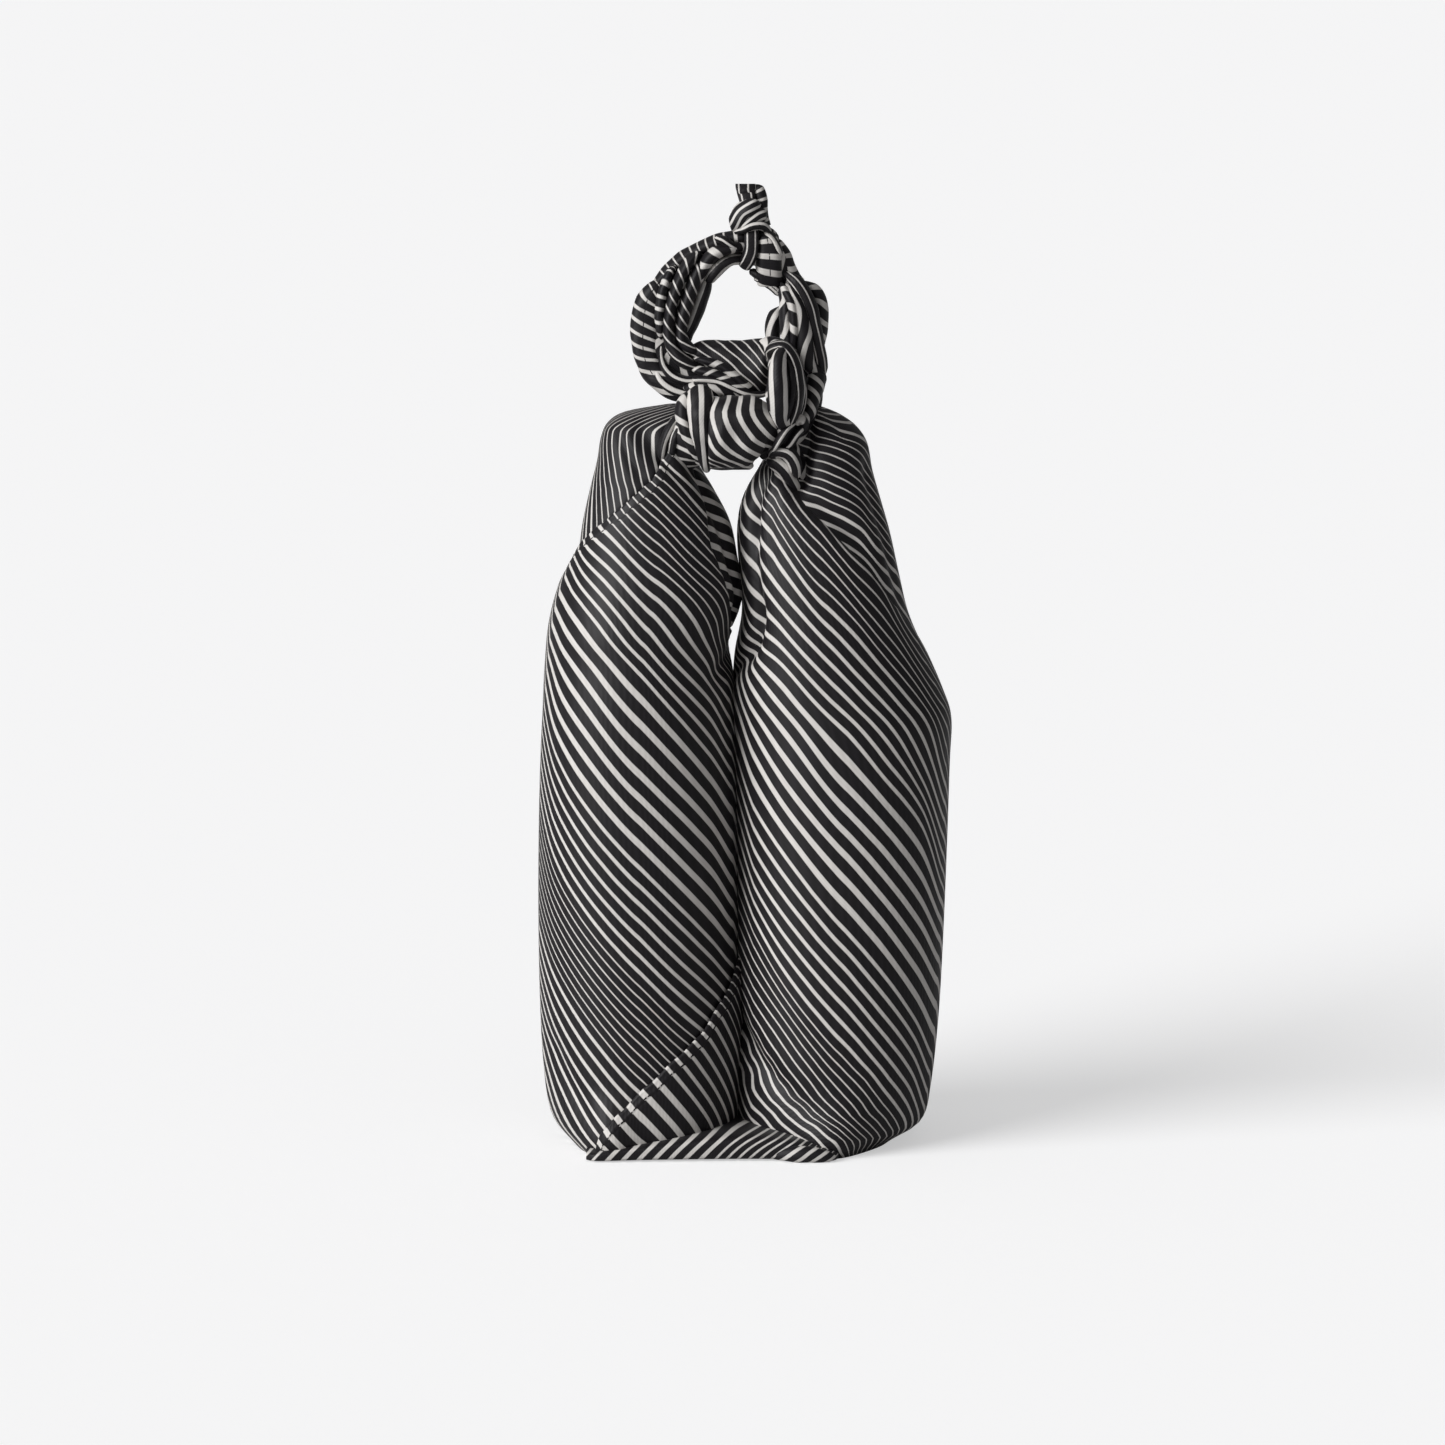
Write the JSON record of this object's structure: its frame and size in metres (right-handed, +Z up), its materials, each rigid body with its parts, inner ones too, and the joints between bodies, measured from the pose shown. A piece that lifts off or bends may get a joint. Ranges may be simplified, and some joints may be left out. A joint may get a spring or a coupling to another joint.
{
  "type": "furoshiki wrap",
  "caption": "Striped square cloth rolled and folded round two standing bottle shapes, crossed in a knot at the necks and tied again above as a ring handle with a free tip.",
  "frame": {"origin": "Centre of the bounding box at its base, on the surface that the wrap stands on.", "axes": "+Z up, -Y towards the front with the crossed knot and the front folds, +X to the front view's right."},
  "size_m": [0.1738, 0.1049, 0.4039],
  "materials": {
    "striped_satin": "satin"
  },
  "bodies": {
    "root": {"furoshiki_cloth": "striped_satin"}
  },
  "joints": []
}
